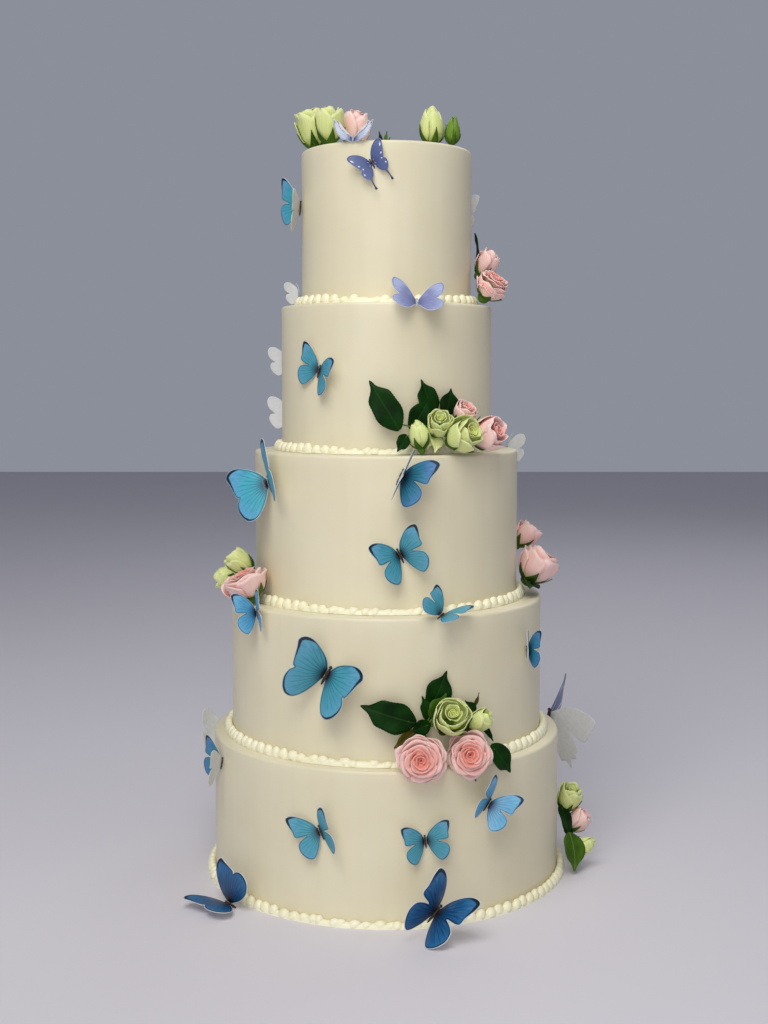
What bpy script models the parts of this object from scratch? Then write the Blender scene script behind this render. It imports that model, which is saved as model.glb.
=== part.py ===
"""A five-tier iced celebration cake with piped bead borders, spray roses, leaves and paper butterflies.

Metres, +Z up. The cake's axis is Z, its base stands on z = 0 and its front faces -Y.
An azimuth is an angle in degrees round the axis: 0 at the front, 90 at the right (+X).
"""
import math
from collections import namedtuple

import bmesh
import bpy
from mathutils import Matrix, Vector

MM = 0.001
GAP = 0.3 * MM

TIER_RADII = (177.5 * MM, 158.5 * MM, 133.5 * MM, 106 * MM, 85 * MM)
TIER_TOPS = (146 * MM, 284 * MM, 432 * MM, 575 * MM, 727 * MM)
TIER_SIDES = 48
RIM_ROUNDING = 4 * MM

BEAD_PITCH = 11.5 * MM
BEAD_HEIGHT = 11 * MM
BEAD_DEPTH = 9 * MM
BEAD_WALL_GAP = 1.0 * MM

WING_THICKNESS = 0.7 * MM
LEAF_THICKNESS = 0.8 * MM
STALK_RADIUS = 1.2 * MM

COLOURS = {
    "ivory_icing": (0.80, 0.74, 0.62),
    "cream_piping": (0.90, 0.84, 0.66),
    "blue_paper": (0.05, 0.32, 0.62),
    "navy_paper": (0.02, 0.14, 0.38),
    "violet_paper": (0.20, 0.24, 0.58),
    "lilac_paper": (0.42, 0.47, 0.80),
    "white_paper": (0.80, 0.84, 0.88),
    "pink_petal": (0.86, 0.42, 0.42),
    "green_petal": (0.66, 0.72, 0.36),
    "dark_leaf": (0.02, 0.09, 0.03),
}


def finish(name, roughness=0.5):
    """The material of that name, made once."""
    made = bpy.data.materials.get(name)
    if made is None:
        made = bpy.data.materials.new(name)
        made.use_nodes = True
        shader = made.node_tree.nodes["Principled BSDF"]
        shader.inputs["Base Color"].default_value = (*COLOURS[name], 1)
        shader.inputs["Roughness"].default_value = roughness
        shader.inputs["Metallic"].default_value = 0
    return made


def solid(name, bm, material, smooth_angle=40):
    """An object in the scene from a closed bmesh, with its faces turned out."""
    bmesh.ops.recalc_face_normals(bm, faces=bm.faces)
    mesh = bpy.data.meshes.new(name)
    bm.to_mesh(mesh)
    bm.free()
    mesh.shade_smooth()
    mesh.set_sharp_from_angle(angle=math.radians(smooth_angle))
    mesh.materials.append(finish(material))
    made = bpy.data.objects.new(name, mesh)
    bpy.context.scene.collection.objects.link(made)
    return made


def outward(azimuth, elevation=0):
    """The unit vector that points away from the axis at that azimuth, raised by the elevation."""
    a, e = math.radians(azimuth), math.radians(elevation)
    return Vector((math.sin(a) * math.cos(e), -math.cos(a) * math.cos(e), math.sin(e)))


def at(azimuth, radius, height):
    """A point given by its azimuth, its distance from the cake's axis and its height."""
    return outward(azimuth) * radius + Vector((0, 0, height))


def tier_floor(tier):
    return TIER_TOPS[tier - 1] if tier else 0.0


def tier_solid(tier):
    """One iced cake: a drum with a rounded upper rim, which stands on the tier below."""
    bottom = tier_floor(tier) + (GAP if tier else 0)
    height = TIER_TOPS[tier] - bottom
    bm = bmesh.new()
    bmesh.ops.create_cone(
        bm,
        cap_ends=True,
        segments=TIER_SIDES,
        radius1=TIER_RADII[tier],
        radius2=TIER_RADII[tier],
        depth=height,
        matrix=Matrix.Translation((0, 0, bottom + height / 2)),
    )
    rim = [e for e in bm.edges if min(v.co.z for v in e.verts) > TIER_TOPS[tier] - GAP]
    bmesh.ops.bevel(bm, geom=rim, offset=RIM_ROUNDING, segments=2, profile=0.5, affect="EDGES")
    return solid(f"tier_{tier + 1}", bm, "ivory_icing")


def border_section(rise):
    """A bead's cross-section, as (distance from the wall, height). Its rise is 1, or 0 between two beads."""
    return (
        (0.0, BEAD_HEIGHT * (0.62 + 0.38 * rise)),
        (BEAD_DEPTH * (0.42 + 0.40 * rise), BEAD_HEIGHT * (0.50 + 0.28 * rise)),
        (BEAD_DEPTH * (0.62 + 0.38 * rise), 0.0),
    )


def border_solid(tier):
    """The ring of piped beads round a tier's foot: a peak at each bead and a dip between two beads."""
    wall = TIER_RADII[tier] + GAP
    floor = tier_floor(tier) + (GAP if tier else 0)
    beads = 2 * round(math.tau * wall / BEAD_PITCH / 2)
    columns = 2 * beads
    bm = bmesh.new()
    rows = [[], [], []]
    for column in range(columns):
        turn = 360 * column / columns
        rise = 1 if column % 2 == 0 else 0
        for row, (out, up) in zip(rows, border_section(rise)):
            row.append(bm.verts.new(at(turn, wall + out, floor + up)))
    foot_points = columns // 4
    foot = [
        bm.verts.new(at(360 * k / foot_points, TIER_RADII[tier] + BEAD_WALL_GAP, floor))
        for k in range(foot_points)
    ]
    crest, face, toe = rows
    for column in range(columns):
        after = (column + 1) % columns
        bm.faces.new((crest[column], crest[after], face[after], face[column]))
        bm.faces.new((face[column], face[after], toe[after], toe[column]))
    for k in range(foot_points):
        here, there = foot[k], foot[(k + 1) % foot_points]
        for row in (crest, toe):
            spans = [row[(4 * k + step) % columns] for step in range(5)]
            bm.faces.new((here, spans[0], spans[1]))
            bm.faces.new((here, spans[1], spans[2]))
            bm.faces.new((here, spans[2], there))
            bm.faces.new((there, spans[2], spans[3]))
            bm.faces.new((there, spans[3], spans[4]))
    return solid(f"border_{tier + 1}", bm, "cream_piping")


# A wing's outline from the front of its root round to the back, as (outward, forward) in wing lengths.
WINGS = {
    "morpho": (
        (0.45, 0.61), (0.89, 0.74), (0.89, 0.45), (0.80, 0.08), (0.46, 0.03),
        (0.82, -0.25), (0.64, -0.62), (0.28, -0.52),
    ),
    "broad": (
        (0.40, 0.51), (0.86, 0.68), (0.99, 0.52), (0.85, 0.00), (0.78, -0.06),
        (0.88, -0.36), (0.65, -0.71), (0.26, -0.50),
    ),
    "swallowtail": (
        (0.46, 0.62), (0.76, 0.72), (0.92, 0.60), (0.62, -0.10), (0.68, -0.40),
        (0.50, -0.62), (0.52, -1.14), (0.40, -1.14), (0.30, -0.56),
    ),
    "pale": (
        (0.40, 0.50), (0.84, 0.62), (0.96, 0.42), (0.70, -0.02), (0.82, -0.20),
        (0.68, -0.58), (0.44, -0.70), (0.18, -0.48),
    ),
    "slender": (
        (0.46, 0.68), (0.88, 0.88), (0.94, 0.60), (0.70, 0.10), (0.90, -0.04),
        (0.88, -0.30), (0.64, -0.48), (0.34, -0.44),
    ),
    "dovetail": (
        (0.56, 0.03), (0.84, -0.22), (1.00, -0.55), (1.08, -0.92), (0.94, -0.74),
        (0.84, -0.86), (0.70, -0.54), (0.22, -0.24),
    ),
    "sail": (
        (0.36, 0.36), (0.64, 0.42), (1.08, 0.41), (0.86, -0.24), (0.47, -0.14),
        (0.70, -0.44), (0.74, -0.70), (0.62, -0.98), (0.36, -0.94),
    ),
}
BODY_STATIONS = ((-0.26, 0.030), (-0.10, 0.048), (0.14, 0.050))
BODY_TAIL, BODY_HEAD = -0.42, 0.30

Butterfly = namedtuple(
    "Butterfly", "kind paper azimuth height size heading tilt left right radius", defaults=(None,)
)
# Height, size and radius are in millimetres, and size is a wing's length.
# A butterfly with no radius rests on the wall.
# Heading is the head's turn from straight up, clockwise as seen from outside.
# Tilt turns its back up from facing straight out. Left and right are how far each wing is raised.
BUTTERFLIES = (
    Butterfly("dovetail", "lilac_paper", -21.5, 728, 19, 184, 4, 10, 10),
    Butterfly("swallowtail", "violet_paper", -9.2, 705, 21.5, -32, 2, 24, 16),
    Butterfly("morpho", "blue_paper", -82, 673, 32, 21, 3, 40, 20),
    Butterfly("morpho", "white_paper", 124, 676, 26, -10, 0, 45, 45),
    Butterfly("slender", "lilac_paper", 15.1, 574, 27.5, 11, 44, 14, 18, 109),
    Butterfly("morpho", "blue_paper", -36.7, 510.8, 28.5, 22, -4, 2, 27),
    Butterfly("pale", "white_paper", -110, 468, 25, -8, 0, 40, 60),
    Butterfly("pale", "white_paper", -112, 592, 17, 0, 0, 40, 55, 97),
    Butterfly("broad", "blue_paper", -56.5, 402.5, 43.5, -34, 3, 38, 26),
    Butterfly("morpho", "blue_paper", 5.5, 413.5, 35.5, 26, 3, 84, 34),
    Butterfly("morpho", "blue_paper", 5.3, 340, 32.5, -26, -4, 36, 29),
    Butterfly("pale", "white_paper", 109, 431, 22, 0, 5, 45, 50),
    Butterfly("morpho", "blue_paper", 18.4, 285.6, 28, 47, 67, 44, 24, 159),
    Butterfly("morpho", "blue_paper", -50.7, 280, 28, -15, 0, 82, 25),
    Butterfly("broad", "blue_paper", -20.2, 230.5, 43.5, 30, 2, 42, 30),
    Butterfly("morpho", "blue_paper", 58.9, 239, 25, 13, 8, 27, 114),
    Butterfly("sail", "white_paper", 104, 142, 52, -22, 4, 36, 39),
    Butterfly("pale", "white_paper", -103, 125, 34, -25, 0, 20, 30),
    Butterfly("morpho", "blue_paper", -65.5, 125, 28, 13, 4, 28, 46),
    Butterfly("morpho", "blue_paper", -19.8, 87, 31, -24, 2, 8, 44),
    Butterfly("morpho", "blue_paper", 11.5, 80.5, 27, -8, -2, 20, 22),
    Butterfly("morpho", "blue_paper", 31.8, 108, 30, 43, 6, 36, 42),
    Butterfly("broad", "navy_paper", -49.2, 2, 39.5, -88, 42, 60, 36, 198),
    Butterfly("morpho", "navy_paper", 12.6, 19.5, 43, 45, 13, 38, 64, 203),
)


def wing_edge(bm, outline, size, root, raised, side, offset):
    """One face of a raised wing, hinged at its root. The side is 1 for the right wing and -1 for the left."""
    lean = math.radians(raised)
    hinge = root + Vector((-side * math.sin(lean), 0, math.cos(lean))) * offset
    return [
        bm.verts.new(
            (
                hinge.x + side * out * size * math.cos(lean),
                forward * size,
                hinge.z + out * size * math.sin(lean),
            )
        )
        for out, forward in outline
    ]


def butterfly_mesh(kind, size, left, right):
    """A closed butterfly: a six-sided body, its head at +Y, with a thin wing grown out of either side."""
    bm = bmesh.new()
    half = WING_THICKNESS / 2
    rings = []
    for forward, girth in BODY_STATIONS:
        width = girth * size
        ring = [bm.verts.new((0, forward * size, width)), bm.verts.new((0, forward * size, -width))]
        for side, raised in ((1, right), (-1, left)):
            lean = math.radians(raised)
            across = Vector((-side * math.sin(lean), 0, math.cos(lean)))
            for offset in (half, -half):
                place = Vector((side * width, forward * size, 0)) + across * offset
                ring.append(bm.verts.new(place))
        top, bottom, right_over, right_under, left_over, left_under = ring
        rings.append((top, right_over, right_under, bottom, left_under, left_over))
    tail = bm.verts.new((0, BODY_TAIL * size, 0))
    head = bm.verts.new((0, BODY_HEAD * size, 0))
    for k in range(6):
        after = (k + 1) % 6
        bm.faces.new((tail, rings[0][after], rings[0][k]))
        bm.faces.new((head, rings[2][k], rings[2][after]))
        bm.faces.new((rings[0][k], rings[0][after], rings[1][after], rings[1][k]))
        if k not in (1, 4):
            bm.faces.new((rings[1][k], rings[1][after], rings[2][after], rings[2][k]))
    for side, raised, over, under in ((1, right, 1, 2), (-1, left, 5, 4)):
        root = Vector((side * BODY_STATIONS[1][1] * size, 0, 0))
        upper = wing_edge(bm, WINGS[kind], size, root, raised, side, half)
        lower = wing_edge(bm, WINGS[kind], size, root, raised, side, -half)
        upper = [rings[2][over], *upper, rings[1][over]]
        lower = [rings[2][under], *lower, rings[1][under]]
        flats = [bm.faces.new(upper), bm.faces.new(reversed(lower))]
        for k in range(len(upper) - 1):
            bm.faces.new((upper[k], lower[k], lower[k + 1], upper[k + 1]))
        bmesh.ops.triangulate(bm, faces=flats)
    return bm


def cake_reach(height):
    """How far the tiers and their borders reach from the axis at a height."""
    for tier, top in enumerate(TIER_TOPS):
        if height <= top:
            in_border = height - tier_floor(tier) < BEAD_HEIGHT + GAP
            return TIER_RADII[tier] + (BEAD_DEPTH if in_border else 0)
    return 0.0


def edge_samples(bm, steps=6):
    """Points along every edge, because a straight edge can cut the round wall between its ends."""
    for edge in bm.edges:
        a, b = (v.co for v in edge.verts)
        for k in range(steps + 1):
            yield a.lerp(b, k / steps)


def rest_on_wall(bm, azimuth):
    """Moves a piece straight in or out until it all but touches the cake."""
    worst = max(
        cake_reach(p.z) + 2 * GAP - math.hypot(p.x, p.y)
        for p in edge_samples(bm)
    )
    bmesh.ops.translate(bm, verts=bm.verts, vec=outward(azimuth) * worst)


def lift_off_floor(bm):
    """Raises a piece that would reach below the surface that the cake stands on."""
    lowest = min(v.co.z for v in bm.verts)
    bmesh.ops.translate(bm, verts=bm.verts, vec=(0, 0, max(0, GAP - lowest)))


def butterfly_solid(number, b):
    """A paper butterfly, set on the cake by its azimuth and height."""
    size = b.size * MM
    bm = butterfly_mesh(b.kind, size, b.left, b.right)
    up = outward(b.azimuth, 90 + b.tilt)
    back = outward(b.azimuth, b.tilt)
    across = up.cross(back)
    heading = math.radians(b.heading)
    head = up * math.cos(heading) + across * math.sin(heading)
    side = head.cross(back)
    turn = Matrix((side, head, back)).transposed().to_4x4()
    radius = b.radius * MM if b.radius else cake_reach(b.height * MM) + size * 0.1
    bm.transform(Matrix.Translation(at(b.azimuth, radius, b.height * MM)) @ turn)
    lift_off_floor(bm)
    if b.radius is None:
        rest_on_wall(bm, b.azimuth)
    return solid(f"butterfly_{number:02d}", bm, b.paper, smooth_angle=20)


# A rose's rings from its base to its heart, as (radius, height, scallop) in head radii and head lengths.
ROSES = {
    "open": (
        (0.34, 0.05, 0.00), (0.80, 0.36, 0.03), (0.97, 0.52, 0.06), (0.88, 0.66, 0.05),
        (0.80, 0.76, 0.04), (0.62, 0.84, 0.04), (0.42, 0.84, 0.03), (0.24, 0.80, 0.02),
    ),
    "cup": (
        (0.36, 0.05, 0.00), (0.80, 0.34, 0.03), (0.96, 0.68, 0.05), (0.84, 0.92, 0.05),
        (0.60, 0.82, 0.03), (0.46, 0.94, 0.04),
    ),
    "wide": (
        (0.36, 0.05, 0.00), (0.78, 0.32, 0.03), (0.98, 0.82, 0.05), (0.84, 0.96, 0.05),
        (0.60, 0.86, 0.03), (0.42, 0.93, 0.04),
    ),
    "bud": (
        (0.50, 0.06, 0.00), (0.98, 0.36, 0.02), (0.92, 0.66, 0.04), (0.46, 0.97, 0.03),
    ),
    "closed": (
        (0.50, 0.06, 0.00), (0.96, 0.30, 0.02), (0.74, 0.64, 0.04), (0.24, 0.96, 0.03),
    ),
}
ROSE_HEARTS = {"open": 0.74, "cup": 0.82, "wide": 0.82, "bud": 0.90, "closed": 0.94}
PETALS = 5

Rose = namedtuple("Rose", "name form petal azimuth radius height aim rise width length spin")
# Radius, height, width and length are in millimetres: the place of the base and the size of the head.
# Aim and rise are the azimuth and elevation that the rose faces.
ROSES_PLACED = (
    Rose("rose_a1", "wide", "green_petal", -99, 72, 733.5, -90, 78, 31, 41, 0),
    Rose("rose_a2", "cup", "green_petal", -67, 61, 732.5, -20, 84, 29, 36, 20),
    Rose("rose_a3", "cup", "pink_petal", -88, 34, 732.5, 40, 76, 28, 37, 40),
    Rose("bud_b1", "bud", "green_petal", 73, 47.5, 733, -14, 84, 25, 37, 10),
    Rose("bud_b2", "closed", "green_petal", 69, 68.5, 732.5, 40, 82, 16, 26, 30),
    Rose("rose_c1", "cup", "pink_petal", 93, 93.5, 608, 80, 55, 23, 27, 0),
    Rose("rose_c2", "open", "pink_petal", 74, 100, 583, 60, 52, 35, 30, 15),
    Rose("bud_d1", "bud", "green_petal", 15, 126, 438, -110, 79, 20, 27, 0),
    Rose("rose_d2", "cup", "green_petal", 24.3, 115.3, 453, 8, 36, 25, 27, 30),
    Rose("rose_d3", "cup", "green_petal", 28.8, 125, 444, 46, 22, 33, 33, 10),
    Rose("bud_d4", "cup", "pink_petal", 38.5, 112, 463, 40, 50, 23, 20, 50),
    Rose("rose_d5", "cup", "pink_petal", 41.5, 124, 445, 58, 20, 32, 33, 25),
    Rose("bud_e1", "cup", "green_petal", -70, 142, 312, -90, 38, 25, 29, 0),
    Rose("bud_e2", "cup", "green_petal", -83, 147, 304, -96, -10, 26, 28, 20),
    Rose("rose_e3", "wide", "pink_petal", -59, 153, 290, -78, 68, 45, 29, 40),
    Rose("rose_f1", "cup", "pink_petal", 103, 141, 329, 92, 50, 26, 28, 5),
    Rose("rose_f2", "wide", "pink_petal", 90, 145, 296, 96, 57, 40, 38, 35),
    Rose("rose_g1", "open", "pink_petal", 10.5, 172, 157.5, -1, 8, 46, 32, 0),
    Rose("rose_g2", "open", "pink_petal", 26, 170, 158.5, 4, 8, 44, 34, 30),
    Rose("rose_g3", "cup", "green_petal", 20, 166.5, 185.5, 8, 33, 34, 32, 15),
    Rose("bud_g4", "cup", "green_petal", 27.5, 166, 179, 70, 36, 20, 26, 0),
    Rose("rose_h1", "cup", "green_petal", 91, 187, 52, 50, 68, 25, 30, 20),
    Rose("bud_h2", "cup", "pink_petal", 88.5, 190.5, 34, 84, 43, 22, 27, 45),
)
# The bud that is fused to the leaves at the cake's foot.
FOOT_BUD = Rose("leaves_h", "bud", "green_petal", 82, 195, 20, 86, 24, 17, 24, 0)
ROSE_FOOT = 5 * MM


def petal_ring(bm, spec, width, length, spin, phase):
    """A ring of points round a rose, out in the middle of each petal and in where two petals meet."""
    radius, height, scallop = spec
    ring = []
    for k in range(2 * PETALS):
        swing = scallop if (k + phase) % 2 else -scallop
        turn = math.radians(spin) + math.pi * k / PETALS
        reach = width / 2 * (radius + swing)
        ring.append(
            bm.verts.new((reach * math.cos(turn), reach * math.sin(turn), length * (height + swing / 2)))
        )
    return ring


def rose_mesh(form, width, length, spin):
    """A closed rose head on the origin that opens along +Z, with folded rings of petals and a short foot."""
    bm = bmesh.new()
    base = bm.verts.new((0, 0, -ROSE_FOOT))
    rings = [
        petal_ring(bm, spec, width, length, spin, phase=k // 2)
        for k, spec in enumerate(ROSES[form])
    ]
    heart = bm.verts.new((0, 0, length * ROSE_HEARTS[form]))
    count = 2 * PETALS
    for k in range(count):
        after = (k + 1) % count
        bm.faces.new((base, rings[0][after], rings[0][k]))
        bm.faces.new((heart, rings[-1][k], rings[-1][after]))
        for lower, upper in zip(rings, rings[1:]):
            bm.faces.new((lower[k], lower[after], upper[after], upper[k]))
    return bm


def aimed(place, azimuth, elevation):
    """A frame at a place whose Z points along an azimuth and elevation."""
    turn = outward(azimuth, elevation).to_track_quat("Z", "Y")
    return Matrix.Translation(place) @ turn.to_matrix().to_4x4()


# Stations along a leaf from its stalk to its tip, as (along, half width) in leaf lengths and widths.
LEAF_STATIONS = ((0.10, 0.26), (0.32, 0.50), (0.58, 0.47), (0.82, 0.22))
LEAF_FOLD = 0.22
LEAF_WAVE = 0.035
STALK_END = 0.16

# A leaf's base and tip are (azimuth, radius, height) in degrees and millimetres.
# Its bow is how far its middle stands out from the straight line between them.
# Its face looks straight out from the cake, turned by an azimuth and raised by an elevation.
Leaf = namedtuple("Leaf", "base tip bow width face_turn face_rise", defaults=(0, 0))
Sprig = namedtuple("Sprig", "name heart leaves")
SPRIGS = (
    Sprig(
        "leaves_d",
        (16.5, 109, 456),
        (
            Leaf((6, 119, 455), (-8, 115, 501.5), 4, 27),
            Leaf((23.5, 108.5, 468), (17, 111, 502.5), 2, 21),
            Leaf((29, 108.5, 474), (33, 111, 494), 2, 16),
            Leaf((12, 110.5, 455), (21, 111.5, 485), 2, 22),
        ),
    ),
    Sprig(
        "leaves_g",
        (12.5, 161.5, 184),
        (
            Leaf((9.5, 167, 188), (-8.2, 168, 205), 5, 30),
            Leaf((14.5, 160.5, 198), (20, 162.5, 234.5), 1, 25),
            Leaf((14.5, 161.5, 188), (11.5, 163.5, 212.5), 2, 12),
            Leaf((14.5, 162.5, 186), (7.5, 166, 180), 1, 15),
            Leaf((30.5, 162.5, 192), (26.5, 164, 205), 2, 10),
        ),
    ),
)
# Leaves that are fused to a rose, each on a stalk that starts inside its head.
ROSE_LEAVES = {
    "rose_c1": (Leaf((98, 91, 612), (95, 90, 650), 2, 17),),
    "rose_c2": (Leaf((77, 100, 582), (75, 118, 581), 2, 14, 0, 80),),
    "rose_f2": (Leaf((90, 147, 293), (70, 152, 296), 2, 20, 0, 65),),
    "rose_g2": (Leaf((32, 182, 165), (38, 188, 137), 2, 22, 0, 15),),
    "rose_h1": (Leaf((88, 181, 62), (82, 189, 30), 3, 17, -45, 10),),
    "leaves_h": (Leaf((80.5, 190, 40), (76, 197, 4), 4, 27, -45, 10),),
}


def placed(spot):
    """A point from (azimuth, millimetres from the axis, millimetres up)."""
    azimuth, radius, height = spot
    return at(azimuth, radius * MM, height * MM)


def leaf_frame(leaf):
    """A leaf's base, the vector to its tip, and the directions across it and out of its face."""
    base = placed(leaf.base)
    along = placed(leaf.tip) - base
    out = outward((leaf.base[0] + leaf.tip[0]) / 2 + leaf.face_turn, leaf.face_rise)
    across = along.cross(out).normalized()
    return base, along, across, across.cross(along).normalized()


def midrib_point(leaf, share):
    """The point that far along a leaf's bowed midrib."""
    base, along, _, out = leaf_frame(leaf)
    return base + along * share + out * (leaf.bow * MM * 4 * share * (1 - share))


def leaf_face(bm, leaf, offset):
    """One face of a leaf: the points of its stalk end, of each station across it, and of its tip."""
    base, along, across, out = leaf_frame(leaf)
    lift = out * offset
    rows = []
    for k, (share, half) in enumerate(LEAF_STATIONS):
        middle = midrib_point(leaf, share) + lift
        reach = across * half * leaf.width * MM
        fold = out * (LEAF_FOLD * half * leaf.width * MM)
        wave = out * (LEAF_WAVE * along.length * (1 if k % 2 else -1))
        across_leaf = (middle - reach + fold + wave, middle, middle + reach + fold - wave)
        rows.append([bm.verts.new(place) for place in across_leaf])
    return bm.verts.new(base + lift), rows, bm.verts.new(base + along + lift)


def leaf_mesh(leaf):
    """A thin, wavy, closed leaf, folded along its midrib, with both faces split into triangles alike."""
    bm = bmesh.new()
    faces = [leaf_face(bm, leaf, offset) for offset in (LEAF_THICKNESS / 2, -LEAF_THICKNESS / 2)]
    loops = []
    for foot, rows, tip in faces:
        for side in (0, 1):
            bm.faces.new((foot, rows[0][side], rows[0][side + 1]))
            for lower, upper in zip(rows, rows[1:]):
                bm.faces.new((lower[side], upper[side], upper[side + 1]))
                bm.faces.new((lower[side], upper[side + 1], lower[side + 1]))
            bm.faces.new((rows[-1][side], tip, rows[-1][side + 1]))
        loops.append([foot, *[row[0] for row in rows], tip, *[row[2] for row in reversed(rows)]])
    over, under = loops
    for k in range(len(over)):
        after = (k + 1) % len(over)
        bm.faces.new((over[k], over[after], under[after], under[k]))
    return bm


def stalk_mesh(start, end):
    """A closed five-sided stalk from one point to another."""
    bm = bmesh.new()
    axis = end - start
    bmesh.ops.create_cone(
        bm,
        cap_ends=True,
        segments=5,
        radius1=STALK_RADIUS,
        radius2=STALK_RADIUS,
        depth=axis.length,
        matrix=Matrix.Translation((start + end) / 2) @ axis.to_track_quat("Z", "Y").to_matrix().to_4x4(),
    )
    return bm


def fused(parts):
    """The first part with the others joined to it by one Boolean union, which is applied."""
    first, others = parts[0], parts[1:]
    group = bpy.data.collections.new(first.name + "_others")
    for part in others:
        group.objects.link(part)
    union = first.modifiers.new("Union", "BOOLEAN")
    union.operation = "UNION"
    union.operand_type = "COLLECTION"
    union.collection = group
    union.solver = "EXACT"
    seen = bpy.context.evaluated_depsgraph_get()
    joined = bpy.data.meshes.new_from_object(first.evaluated_get(seen))
    first.modifiers.clear()
    first.data = joined
    for part in others:
        bpy.data.objects.remove(part)
    bpy.data.collections.remove(group)
    return first


def leafy(root, start, leaves, material):
    """Joins leaves to a solid, each on a stalk from a point inside that solid."""
    parts = [root] if root else []
    for k, leaf in enumerate(leaves):
        parts.append(solid(f"blade_{k}", leaf_mesh(leaf), material))
        stalk = stalk_mesh(start, midrib_point(leaf, STALK_END))
        parts.append(solid(f"stalk_{k}", stalk, material))
    return fused(parts)


def rose_solid(r):
    """A rose set on the cake, with any leaves of its own."""
    bm = rose_mesh(r.form, r.width * MM, r.length * MM, r.spin)
    foot = at(r.azimuth, r.radius * MM, r.height * MM)
    bm.transform(aimed(foot, r.aim, r.rise))
    made = solid(r.name, bm, r.petal, smooth_angle=30)
    if r.name in ROSE_LEAVES:
        inside = foot + outward(r.aim, r.rise) * (r.length * MM * 0.3)
        leafy(made, inside, ROSE_LEAVES[r.name], r.petal)


def sprig_solid(sprig):
    """Leaves on short stalks that meet at one point behind the roses."""
    made = leafy(None, placed(sprig.heart), sprig.leaves, "dark_leaf")
    made.name = made.data.name = sprig.name


def build():
    for old in list(bpy.data.objects):
        bpy.data.objects.remove(old)
    for tier in range(len(TIER_RADII)):
        tier_solid(tier)
        border_solid(tier)
    for number, b in enumerate(BUTTERFLIES, start=1):
        butterfly_solid(number, b)
    for r in (*ROSES_PLACED, FOOT_BUD):
        rose_solid(r)
    for sprig in SPRIGS:
        sprig_solid(sprig)


build()
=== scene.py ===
"""The finish of a five-tier iced cake: ivory icing, piped beads, spray roses, leaves and paper butterflies.

Metres, +Z up. The cake's axis is Z and its front faces -Y.
An azimuth is an angle in degrees round the axis: 0 at the front, 90 at the right (+X).
"""
import math
import random
from collections import namedtuple

import bmesh
import bpy
from mathutils import Matrix, Vector, noise


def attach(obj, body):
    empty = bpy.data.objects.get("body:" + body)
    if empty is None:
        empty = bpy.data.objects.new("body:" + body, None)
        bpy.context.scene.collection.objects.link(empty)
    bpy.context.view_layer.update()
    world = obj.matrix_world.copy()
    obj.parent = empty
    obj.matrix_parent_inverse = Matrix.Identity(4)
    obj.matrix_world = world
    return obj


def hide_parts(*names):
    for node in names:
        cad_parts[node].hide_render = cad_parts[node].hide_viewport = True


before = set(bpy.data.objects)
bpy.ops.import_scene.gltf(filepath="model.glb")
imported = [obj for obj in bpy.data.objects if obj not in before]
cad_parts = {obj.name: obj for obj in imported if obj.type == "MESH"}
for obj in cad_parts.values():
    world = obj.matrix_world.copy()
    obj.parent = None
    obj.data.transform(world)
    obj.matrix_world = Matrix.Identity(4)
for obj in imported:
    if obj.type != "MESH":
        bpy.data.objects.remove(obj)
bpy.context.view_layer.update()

MM = 0.001
GAP = 0.3 * MM

TIER_RADII = (177.5 * MM, 158.5 * MM, 133.5 * MM, 106 * MM, 85 * MM)
TIER_TOPS = (146 * MM, 284 * MM, 432 * MM, 575 * MM, 727 * MM)
TIER_SIDES = 192
WALL_ROWS = 14
TOP_RINGS = 5
RIM_ROUNDING = 3 * MM
ICING_WAVE = 0.35 * MM
# Swells in a metre: the broad and the fine ones of a wall, those of a tier's top and those of the beads.
SWELLS, FINE_SWELLS, TOP_SWELLS, BEAD_SWELLS = 14, 46, 18, 260

BEAD_PITCH = 10.2 * MM
BEAD_HEIGHT = 10.5 * MM
FRONT_BEAD_HEIGHT = 7.5 * MM
BEAD_DEPTH = 9 * MM
SMEAR_HEIGHT = 4.5 * MM
# Between these degrees from the front the piping changes from rough to even, and from low to full.
ROUGH_TO_EVEN = (14, 46)
LOW_TO_FULL = (10, 50)

PAPER_THICKNESS = 0.5 * MM
LEAF_THICKNESS = 0.7 * MM
PETAL_THICKNESS = 0.5 * MM
ROSE_FOOT = 5 * MM

CAMERA_PLACE = (-0.00235, -1.3876, 0.5028)
CAMERA_PITCH = math.pi / 2 - 0.0975
CAMERA_LENS = 47.73


def srgb(red, green, blue):
    """A colour picked on screen, 0 to 255, as the linear colour that a shader needs."""
    def linear(c):
        c = c / 255
        return c / 12.92 if c <= 0.04045 else ((c + 0.055) / 1.055) ** 2.4
    return (linear(red), linear(green), linear(blue), 1)


def screen_tones(tones):
    return [srgb(*tone) for tone in tones]


def outward(azimuth, elevation=0):
    """The unit vector that points away from the axis at that azimuth, raised by the elevation."""
    a, e = math.radians(azimuth), math.radians(elevation)
    return Vector((math.sin(a) * math.cos(e), -math.cos(a) * math.cos(e), math.sin(e)))


def at(azimuth, radius, height):
    """A point given by its azimuth, its distance from the cake's axis and its height."""
    return outward(azimuth) * radius + Vector((0, 0, height))


def placed(spot):
    """A point from (azimuth, millimetres from the axis, millimetres up)."""
    azimuth, radius, height = spot
    return at(azimuth, radius * MM, height * MM)


def aimed(place, azimuth, elevation):
    """A frame at a place whose Z points along an azimuth and elevation."""
    turn = outward(azimuth, elevation).to_track_quat("Z", "Y")
    return Matrix.Translation(place) @ turn.to_matrix().to_4x4()


def tier_floor(tier):
    return TIER_TOPS[tier - 1] if tier else 0.0


def ease(low, high, x):
    """0 below low, 1 above high, and a smooth step between."""
    t = min(1.0, max(0.0, (x - low) / (high - low)))
    return t * t * (3 - 2 * t)


# Materials

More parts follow.
